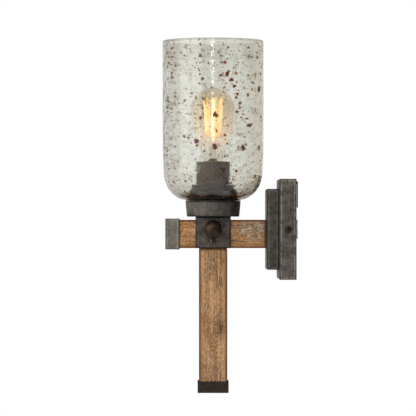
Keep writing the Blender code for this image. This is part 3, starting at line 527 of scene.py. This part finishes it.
low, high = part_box("saddle")
high.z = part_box("fitter_dish")[0].z  # it is drawn up to the dish, with no light between them
saddle_iron = aged_iron(
    "saddle_iron", low, high, (0.007, 0.005, 0.004), (0.14, 0.116, 0.095), strokes=(5, 5, 9),
    edge=2.2 * MM, wear_and_highlight=0.1,
)
sheet, outer_fold, inner_fold, softening = 1.7 * MM, 1.8 * MM, 0.4 * MM, 0.35 * MM
folded = []
for half, top, fold, steps, way in (
    (high.x, high.z, outer_fold, 6, 1), (high.x - sheet, high.z - sheet, inner_fold, 3, -1),
):
    curve = arc(half - fold, top - fold, fold, fold, 0, 90, steps)
    strip = [(half, low.z), *curve, *[(-x, z) for x, z in curve[::-1]], (-half, low.z)]
    folded += strip[::way]
bm = bmesh.new()
for y in (low.y, high.y):
    bm.faces.new([bm.verts.new((x, y, z)) for x, z in folded])
bm.faces.ensure_lookup_table()
bmesh.ops.bridge_loops(bm, edges=bm.edges[:])
bmesh.ops.recalc_face_normals(bm, faces=bm.faces)
sharp = [edge for edge in bm.edges if edge.calc_face_angle(0) > radians(60)]
bmesh.ops.bevel(bm, geom=sharp, offset=softening, segments=2, affect="EDGES", profile=0.5)
piece("folded_saddle", bm, saddle_iron, "fixture", "aged_iron", "saddle")


def lathe(outline, steps, wobble=0.0, seed=0.0, ripple=60):
    """Turns an outline of (radius, height) about Z. One that starts and ends on the axis is
    solid; any other closes on itself. Wobble is how far the surface strays from round."""
    on_axis = 1e-7
    bm = bmesh.new()
    rings = []
    for radius, height in outline:
        ring = []
        for k in range(steps if radius > on_axis else 1):
            way = Vector((cos(tau * k / steps), sin(tau * k / steps), 0))
            stray = noise.noise(Vector((way.x * 1.3, way.y * 1.3, height * ripple + seed)))
            point = way * (radius - wobble * (1 + stray) / 2) + Vector((0, 0, height))
            ring.append(bm.verts.new(point))
        rings.append(ring)
    closed = len(rings[0]) > 1 and len(rings[-1]) > 1
    skin(bm, [*rings, rings[0]] if closed else rings)
    return bm


ball_bronze = oiled_bronze("ball_bronze", 5 * MM)
sink, shank, off_cheek, flange_edge, flange_top = (
    number * MM for number in (8.2, 2.4, 0.05, 0.5, 0.9)
)
for label, side in (("right", 1), ("left", -1)):
    low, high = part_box(f"ball_knob_{label}")
    radius = (high.y - low.y) / 2
    foot = asin(sink / radius)
    flange = radius * cos(foot) + flange_edge
    crown = radius + sink
    end = crown - (high.x - low.x)
    outline = [(0, end), (shank, end), (shank, off_cheek), (flange, off_cheek)]
    outline += [(flange, flange_top), *arc(0, sink, radius, radius, 6 - degrees(foot), 88, 26)]
    bm = lathe([*outline, (0, crown)], 64, wobble=0.12 * MM, seed=side, ripple=120)
    cheek = high.x - crown if side > 0 else low.x + crown
    bm.transform(
        Matrix.Translation((cheek, (low.y + high.y) / 2, (low.z + high.z) / 2))
        @ Matrix.Rotation(side * pi / 2, 4, "Y")
    )
    piece(f"cast_ball_{label}", bm, ball_bronze, "fixture", "dark_bronze", f"ball_knob_{label}")
screw_iron = oiled_bronze("screw_iron", 1.5 * MM, "saddle_screw_right", 1.7 * MM, greyed=0.5)
carry(screw_iron, "saddle_screw_right", "saddle_screw_left")


# ---- Dish fitter --------------------------------------------------------------------------------
# A spun iron dish on the saddle, a little wider at its rim, that the glass stands in. Its rim is
# rolled, and a plated pipe and neck with nuts draw it down on the saddle.
def turned_iron(name, node, dark, light, painted_edge_shade=0.0):
    """The aged iron for a round piece, its foot and rim painted dark, as painted shade and dark
    reflection, in place of its edges.
    """
    low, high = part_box(node)
    finish = Finish(name, Metallic=0.55)
    mottle = finish.cloud(8 * MM, detail=7, rough=0.62)
    stroke = finish.cloud(0.7 * MM, (4, 4, 30), detail=3)
    grit = finish.cloud(1.3 * MM, detail=4, rough=0.7)
    tone = mottle.step(0.38, 0.64) * 0.4 + stroke.step(0.36, 0.66) * 0.2
    colour = finish.mix(tone + grit.step(0.45, 0.58) * 0.4, dark, light)
    height = finish.parts(finish.place)["Z"]
    foot = height.step(low.z + 2.2 * MM, low.z + 0.6 * MM)
    rim = height.step(high.z - 1.6 * MM, high.z - 0.6 * MM)
    # Painted shade and dark reflection at the foot and the rim.
    colour = finish.mix(foot.most(rim) * painted_edge_shade, colour, (0.012, 0.011, 0.01))
    finish.feed(Base_Color=colour, Roughness=0.42 + 0.25 * mottle)
    finish.bump(mottle * 0.45 + stroke * 0.25 + grit * 0.3, 0.22 * MM)
    return finish


def upright(name, node, outline, steps, finish, body, slot, wobble=0.0, seed=0.0, ripple=60):
    """A piece turned about the lamp's axis, in place of one CAD node."""
    low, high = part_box(node)
    bm = lathe(outline, steps, wobble, seed, ripple)
    bm.transform(Matrix.Translation(((low.x + high.x) / 2, (low.y + high.y) / 2, 0)))
    piece(name, bm, finish, body, slot, node)


dish_iron = turned_iron(
    "dish_iron", "fitter_dish", (0.04, 0.034, 0.03), (0.165, 0.146, 0.132), painted_edge_shade=0.85
)
low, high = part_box("fitter_dish")
top, foot, wall, hole = (high.x - low.x) / 2, 35.2 * MM, 1.9 * MM, 5.4 * MM
rounding, rolled, thinned, below_roll = 0.9 * MM, 1.1 * MM, 0.3 * MM, high.z - 2.4 * MM
lean = (top - foot) / (high.z - low.z)
outline = [(hole, low.z), (foot - rounding, low.z), (foot, low.z + rounding)]
for z in (low.z + 6 * MM, low.z + 13 * MM, below_roll):
    outline.append((foot + lean * (z - low.z), z))
outline += arc(top - rolled, high.z - rolled, rolled, rolled, -30, 180, 10)
outline += [(top - wall - thinned, below_roll), (foot - wall, low.z + wall), (hole, low.z + wall)]
upright(
    "spun_dish", "fitter_dish", outline, 96, dish_iron, "fixture", "aged_iron", 0.12 * MM, seed=2.0
)
carry(zinc, "saddle_nut", "lamp_pipe", "fitter_neck", "neck_nut")


# ---- Glass shade --------------------------------------------------------------------------------
# A mouth-blown cylinder with a rounded foot and a fire-polished lip, between two rubber gaskets.
# Iron filings and sand rolled into the gather left brown flecks over a haze of grey seeds.
low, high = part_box("glass_shade")
middle, glass_r, foot, top = (low + high) / 2, (high.x - low.x) / 2, low.z, high.z
wall, floor, hole = 3 * MM, 3.5 * MM, 21 * MM
bowl_r, bowl_a, bowl_b, bowl_steps = 34 * MM, 32.4 * MM, 37.6 * MM, 28
shoulder, widest_from, lip_height = foot + bowl_b, 125 * MM, 1.4 * MM
outside = arc(bowl_r, shoulder, bowl_a, bowl_b, -90, 0, bowl_steps)
for z in (86 * MM, 96 * MM, 110 * MM):
    t = (z - shoulder) / (widest_from - shoulder)
    outside.append((bowl_r + bowl_a + (glass_r - bowl_r - bowl_a) * sin(t * pi / 2), z))
straight = top - 4 * MM - widest_from
outside += [(glass_r, widest_from + straight * k / 12) for k in range(13)]
lip = arc(glass_r - wall / 2, top - lip_height, wall / 2, lip_height, 0, 180, 10)
inner = [(r - wall, z) for r, z in outside[bowl_steps + 1:]][::-1]
inner += arc(bowl_r, shoulder, bowl_a - wall, bowl_b - floor, 0, -90, bowl_steps)
outline = [*outside, *lip, *inner, (hole, foot + floor), (hole, foot)]

clear, pale_haze, smoky_top = (0.915, 0.935, 0.915), (0.8, 0.818, 0.785), (0.72, 0.725, 0.69)
warm_edge, grey_seed, drawn_seed = (0.79, 0.73, 0.63), (0.57, 0.56, 0.49), (0.4, 0.25, 0.15)
sand, rust_fleck, iron_fleck = (0.3, 0.14, 0.06), (0.22, 0.068, 0.018), (0.13, 0.034, 0.008)
# Dark brown for the painted shade and dark refraction at the glass's foot.
grime = (0.16, 0.085, 0.04)
glass = Finish("speckled_glass", Transmission_Weight=1.0, IOR=1.47)
outwards = glass.vector("SUBTRACT", glass.place, (middle.x, middle.y, 0))
outwards = glass.vector("NORMALIZE", glass.vector("MULTIPLY", outwards, (1, 1, 0)))
on_wall = glass.vector("MULTIPLY", outwards, (glass_r, glass_r, 0))
# From here both faces of the wall count as one place, so that a fleck goes through the glass.
glass.place = glass.vector("ADD", on_wall, glass.vector("MULTIPLY", glass.place, (0, 0, 1)))


def flecks(size, share, reach, seed):
    """A mask of ragged specks, at most one to a cell of that size and in that share of them."""
    place = glass.vector("ADD", glass.scaled(size), (seed, seed, seed))
    cells = glass.node("ShaderNodeTexVoronoi", None, {"Vector": place, "Scale": 1.0})
    chance = glass.node("ShaderNodeSeparateColor", None, {0: cells["Color"]})
    keep = glass.maths("LESS_THAN", chance["Red"], share)
    ragged = glass.cloud(size * 0.28, detail=4, rough=0.7)
    away = cells["Distance"] + (ragged - 0.5) * 0.9
    edge = reach * (0.25 + 0.75 * chance["Green"] * chance["Green"])
    return keep * (away - edge).step(0.03, -0.03)


spot = glass.parts(on_wall)
out, wallwards = spot["X"], spot["Y"]
height = glass.parts(glass.place)["Z"]
crowd = glass.cloud(26 * MM, detail=3).step(0.4, 0.62)
room_edge = wallwards.step(-46 * MM, -60 * MM)
low_corner = height.step(84 * MM, 60 * MM) * wallwards.step(8 * MM, 30 * MM)
across = wallwards - 34 * MM + (height - 170 * MM) * 0.42
trail = across.step(-6 * MM, -3 * MM) * across.step(6 * MM, 3 * MM) * out.step(0, 1 * MM)
trail = trail * height.step(130 * MM, 138 * MM) * height.step(210 * MM, 204 * MM)
crowded = 0.12 + 0.3 * crowd + 0.3 * room_edge + 0.4 * low_corner
big = flecks(12 * MM, 0.16 + 0.2 * crowd + 0.5 * low_corner, 0.38, 3.7)
big = big.most(flecks(4.6 * MM, 0.75 * trail, 0.6, 5.9))
middling = flecks(5.4 * MM, crowded, 0.44, 8.1)
small = flecks(2.9 * MM, crowded + 0.14, 0.4, 1.3)
drawn_out = glass.cloud(1.1 * MM, (1, 1, 3), detail=3, rough=0.6).step(0.61, 0.66)
grain = glass.cloud(1.5 * MM, detail=5, rough=0.75)
haze = glass.cloud(7 * MM, (1, 1, 1.6), detail=6, rough=0.7)
colour = glass.mix(haze.step(0.3, 0.7), pale_haze, clear)
colour = glass.mix(height.step(200 * MM, 245 * MM) * 0.5, colour, smoky_top)
colour = glass.mix(wallwards.step(50 * MM, 64 * MM) * 0.6, colour, warm_edge)
colour = glass.mix(grain.step(0.52, 0.66) * 0.5, colour, grey_seed)
colour = glass.mix(drawn_out * (0.4 + 0.6 * room_edge) * 0.75, colour, drawn_seed)
colour = glass.mix(small * 0.95, colour, sand)
colour = glass.mix(middling, colour, rust_fleck)
colour = glass.mix(big, colour, iron_fleck)
# Painted shade: the glass is painted dark at its foot, with dark swirls just above it, standing in
# for shade and dark refraction there.
swirl = glass.cloud(9 * MM, (1, 1, 0.5), detail=4, warp=1.5).step(0.5, 0.6)
painted_foot_shade = (height.step(64 * MM, 44 * MM) * swirl * 0.6).most(height.step(46 * MM, 42 * MM))
colour = glass.mix(painted_foot_shade, colour, grime)
glass.feed(Base_Color=colour, Roughness=0.03 + 0.35 * big.most(middling) + 0.12 * grain)
glass.bump(glass.cloud(11 * MM, detail=2) + 0.12 * big + 0.05 * small + 0.04 * grain, 0.5 * MM)
upright(
    "blown_shade", "glass_shade", outline, 144, glass, "fixture", "speckled_glass",
    wobble=0.5 * MM, seed=5.5, ripple=22,
)
carry(rubber, "lower_gasket", "upper_gasket")


# ---- Clamp and lampholder cup -------------------------------------------------------------------
# A pressed iron plate on a gasket holds the glass down, under a threaded ring. The spun cup that
# stands on it hides the porcelain lampholder, whose brass shell takes the lamp's screw cap.
def quarter(high_r, level, radius, start, count):
    """An outline's rounded corner out at high_r, by a flat face at that level: its lower one
    starts at -90 degrees and its upper one at 0."""
    way = -1 if start < 0 else 1
    return arc(high_r - radius, level - way * radius, radius, radius, start, start + 90, count)


plate_iron = turned_iron("plate_iron", "clamp_plate", (0.02, 0.012, 0.008), (0.085, 0.055, 0.034))
neck, true_to = 20.3 * MM, 0.06 * MM
low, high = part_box("clamp_plate")
plate_r = (high.x - low.x) / 2
outline = [(neck, low.z), *quarter(plate_r, low.z, 1 * MM, -90, 4)]
outline += [*quarter(plate_r, high.z, 4 * MM, 0, 10), (neck, high.z)]
upright(
    "pressed_clamp_plate", "clamp_plate", outline, 72, plate_iron, "fixture", "aged_iron", true_to
)
low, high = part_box("clamp_ring")
ring_r = (high.x - low.x) / 2
outline = [(neck, low.z), *quarter(ring_r, low.z, 1.2 * MM, -90, 5)]
outline += [*quarter(ring_r, high.z, 1.2 * MM, 0, 5), (neck, high.z)]
upright(
    "threaded_clamp_ring", "clamp_ring", outline, 72, plate_iron, "fixture", "aged_iron", true_to
)
cup_iron = turned_iron(
    "cup_iron", "socket_cup", (0.06, 0.038, 0.027), (0.165, 0.112, 0.084), painted_edge_shade=0.3
)
low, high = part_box("socket_cup")
cup_r, wall, hole, lip = (high.x - low.x) / 2, 1.2 * MM, 18 * MM, 0.6 * MM
outline = [(hole, low.z), *quarter(cup_r, low.z, 1.5 * MM, -90, 6)]
outline += arc(cup_r - lip, high.z - lip, lip, lip, 0, 180, 8)
outline += [(cup_r - wall, low.z + 2 * MM), (cup_r - 2 * MM, low.z + wall), (hole, low.z + wall)]
upright("spun_socket_cup", "socket_cup", outline, 96, cup_iron, "fixture", "aged_iron", true_to)

porcelain = Finish("porcelain", Coat_Weight=0.6)
crackle = porcelain.cloud(4 * MM, detail=6)
porcelain.feed(
    Base_Color=porcelain.mix(crackle, (0.66, 0.63, 0.56), (0.8, 0.78, 0.73)),
    Roughness=0.2 + 0.15 * crackle,
)
porcelain.bump(crackle, 0.08 * MM)
carry(porcelain, "lampholder_body")
carry(brass, "screw_shell", "centre_contact")


# ---- Lamp ---------------------------------------------------------------------------------------
# A long pear-shaped filament lamp in pale amber glass, with a sealed tip on its crown. A rod with
# two buttons carries the support wires, and the one filament runs up and down between them.
amber = Finish("amber_glass", Transmission_Weight=1.0, IOR=1.3, Emission_Strength=0.05)
tint = amber.cloud(20 * MM, detail=3)
height = amber.parts(amber.place)["Z"]
smoke = height.step(118 * MM, 172 * MM) * (0.75 + 0.5 * tint)
# Painted glow: the glass round the filament's height glows warm, standing in for the filament's
# light scattered in it.
lit = height.step(98 * MM, 124 * MM) * height.step(170 * MM, 128 * MM)
amber.feed(
    Base_Color=amber.mix(smoke, (0.98, 0.965, 0.925), (0.91, 0.84, 0.71)),
    Roughness=0.015 + 0.02 * tint,
    Emission_Color=amber.mix(lit, (0, 0, 0), (1.0, 0.42, 0.12)),
)
amber.bump(tint, 0.15 * MM)
low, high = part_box("lamp_envelope")
lamp_r, foot, tip, wall = (high.x - low.x) / 2, low.z, high.z, 0.9 * MM
neck_r, neck_top, bulge_z, crown = 12 * MM, foot + 6 * MM, 160.5 * MM, tip - 2.2 * MM


def envelope(inset):
    """The glass from its cut neck to its crown, that far inside the outer surface."""
    neck, bulge = neck_r - inset, lamp_r - inset
    points = [(neck, foot), (neck, neck_top)]
    for k in range(1, 24):
        t = k / 24
        swelling = sin(t * pi / 2) ** 1.15
        points.append((neck + (bulge - neck) * swelling, neck_top + (bulge_z - neck_top) * t))
    return points + arc(0, bulge_z, bulge, crown - bulge_z - inset, 0, 86, 20)


sealed_tip = [(0, tip), (0.6 * MM, tip - 0.3 * MM)]
sealed_tip += [(1.2 * MM, crown + 1.1 * MM), (2.1 * MM, crown + 0.35 * MM)]
outline = [*sealed_tip, *envelope(0)[::-1], *envelope(wall), (0, crown - wall)]
upright("lamp_glass_envelope", "lamp_envelope", outline, 72, amber, "lamp", "lamp_glass")

stem_glass = Finish("stem_glass", Transmission_Weight=1.0, IOR=1.5, Emission_Strength=1.5)
clouded = stem_glass.cloud(5 * MM, detail=4)
# Painted glow: the stem glows warm above its foot, though it gives no light of its own.
lit = stem_glass.parts(stem_glass.place)["Z"].step(112 * MM, 130 * MM)
stem_glass.feed(
    Base_Color=stem_glass.mix(clouded, (0.85, 0.83, 0.76), (0.95, 0.93, 0.88)),
    Roughness=0.05 + 0.1 * clouded,
    Emission_Color=stem_glass.mix(lit, (0, 0, 0), (1.0, 0.62, 0.25)),
)
carry(stem_glass, "lamp_stem")
carry(zinc, "upper_supports", "lower_supports", "feed_wire_first", "feed_wire_last")

glow = Finish("glowing_wire", Roughness=0.5, Emission_Strength=1.4)
heat = glow.parts(glow.place)["Z"].step(122 * MM, 140 * MM)
glow.feed(
    Base_Color=glow.mix(heat, (0.5, 0.2, 0.05), (0.9, 0.6, 0.3)),
    Emission_Color=glow.mix(heat, (0.9, 0.36, 0.1), (1.0, 0.66, 0.3)),
)
carry(glow, "filament")

low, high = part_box("lamp_cap")
cap_r, wall, bore, pitch, groove = (high.x - low.x) / 2, 0.7 * MM, 8 * MM, 3.63 * MM, 0.42 * MM
collar, rounding, waist = high.z - 4 * MM, 0.5 * MM, cap_r - 1.2 * MM
outline = [(bore, low.z)]
for k in range(int((collar - low.z) / pitch) * 8 + 1):
    outline.append((cap_r - groove * (0.5 + 0.5 * cos(tau * k / 8)), low.z + pitch * k / 8))
outline += [(cap_r, high.z - 3.4 * MM), *quarter(cap_r, high.z, rounding, 0, 4)]
outline += [(cap_r - wall, high.z), (cap_r - wall, collar), (waist, high.z - 6.5 * MM)]
outline += [(waist, low.z + wall), (bore, low.z + wall)]
upright("rolled_lamp_cap", "lamp_cap", outline, 64, brass, "lamp", "brass")
carry(zinc, "lamp_contact")

black_glass = Finish("black_glass", Coat_Weight=0.5)
smear = black_glass.cloud(3 * MM, detail=4)
black_glass.feed(
    Base_Color=black_glass.mix(smear, (0.008, 0.008, 0.01), (0.03, 0.03, 0.035)),
    Roughness=0.15 + 0.2 * smear,
)
carry(black_glass, "lamp_insulator")


# ---- Wiring -------------------------------------------------------------------------------------
# Two stranded leads in plastic run from the lampholder down its pipe, along the arm and out into
# the canopy, where twist-on connectors end them; a green one joins the strap to the pipe.
def plastic(name, first, second):
    finish = Finish(name)
    soft = finish.cloud(5 * MM, detail=5)
    finish.feed(Base_Color=finish.mix(soft, first, second), Roughness=0.35 + 0.2 * soft)
    finish.bump(finish.cloud(0.8 * MM, detail=3), 0.05 * MM)
    return finish


white_plastic = plastic("white_plastic", (0.62, 0.61, 0.56), (0.8, 0.79, 0.75))
black_plastic = plastic("black_plastic", (0.012, 0.012, 0.012), (0.03, 0.03, 0.03))
green_plastic = plastic("green_plastic", (0.02, 0.2, 0.06), (0.04, 0.28, 0.1))
carry(white_plastic, "white_lead", "wire_nut_white")
carry(black_plastic, "black_lead", "wire_nut_black")
carry(green_plastic, "ground_lead")


# ---- Studio -------------------------------------------------------------------------------------
# A pale floor that fades into white all round, a large soft light on the room's side, a narrow
# tall one beside the camera, and a long lens square to the light's right side.
class Surroundings(Finish):
    """The node sheet of the world, in place of a material's."""

    def __init__(self, world):
        world.use_nodes = True
        self.tree = world.node_tree
        self.shader = self.tree.nodes["Background"]
        self.place = self.node("ShaderNodeTexCoord")["Generated"]


bpy.context.scene.world = bpy.data.worlds.new("white_studio")
around = Surroundings(bpy.context.scene.world)
way = around.parts(around.place)
past_glass = 0.86  # the white that the glass lets through, and that stands behind the light
behind = way["X"].step(-0.1, -0.55)
in_room = (0.58 + way["Y"] * -0.38 + way["Z"] * 0.18).most(0.1)
ambient = behind * past_glass + (1 - behind) * in_room
path = around.node("ShaderNodeLightPath")
seen, through = path["Is Camera Ray"], path["Is Transmission Ray"]
ambient = ambient + through * (past_glass - ambient)
around.feed(
    Color=around.mix(seen, (1.0, 0.98, 0.94), (1.0, 1.0, 1.0)),
    Strength=ambient * (1 - seen) + seen,
)

floor_r, floor_z = 2.4, -0.8
pale_floor = Finish("pale_floor", Roughness=0.8)
mottled = pale_floor.cloud(0.4, detail=3)
pale_floor.feed(
    Base_Color=pale_floor.mix(mottled, (0.86, 0.86, 0.85), (0.9, 0.9, 0.89)),
    Alpha=pale_floor.away((0, 0, 0)).step(floor_r - 0.05, 0.9),
)
bm = bmesh.new()
bmesh.ops.create_circle(
    bm, cap_ends=True, radius=floor_r, segments=96, matrix=Matrix.Translation((0, 0, floor_z))
)
mesh = bpy.data.meshes.new("floor")
bm.to_mesh(mesh)
bm.free()
mesh.materials.append(pale_floor.material)
floor_plane = bpy.data.objects.new("floor", mesh)
bpy.context.scene.collection.objects.link(floor_plane)


def soft_light(name, at, width, height, power):
    """A flat light of that size and power in watts, which faces the middle of the wall light."""
    middle = Vector((0, -0.11, 0.05))
    light = bpy.data.lights.new(name, "AREA")
    light.shape, light.size, light.size_y, light.energy = "RECTANGLE", width, height, power
    made = bpy.data.objects.new(name, light)
    made.location = at
    made.rotation_euler = (Vector(at) - middle).to_track_quat("Z", "Y").to_euler()
    bpy.context.scene.collection.objects.link(made)


soft_light("room_side_light", (1.5, -2.2, 1.1), 2.8, 2.8, 45)
soft_light("tall_strip_light", (2.95, -0.13, 1.07), 0.15, 1.5, 8)

scene = bpy.context.scene
scene.view_settings.view_transform = "Standard"
camera = bpy.data.cameras.new("camera")
camera.lens, camera.sensor_width = 232.7, 36
camera.shift_x, camera.shift_y = 0.0216, 0.0337
camera.clip_end = 50
scene.camera = bpy.data.objects.new("camera", camera)
scene.camera.location = (3.6, -0.13, 0.0096)
scene.camera.rotation_euler = (pi / 2, 0, pi / 2)  # level, facing -X
scene.collection.objects.link(scene.camera)
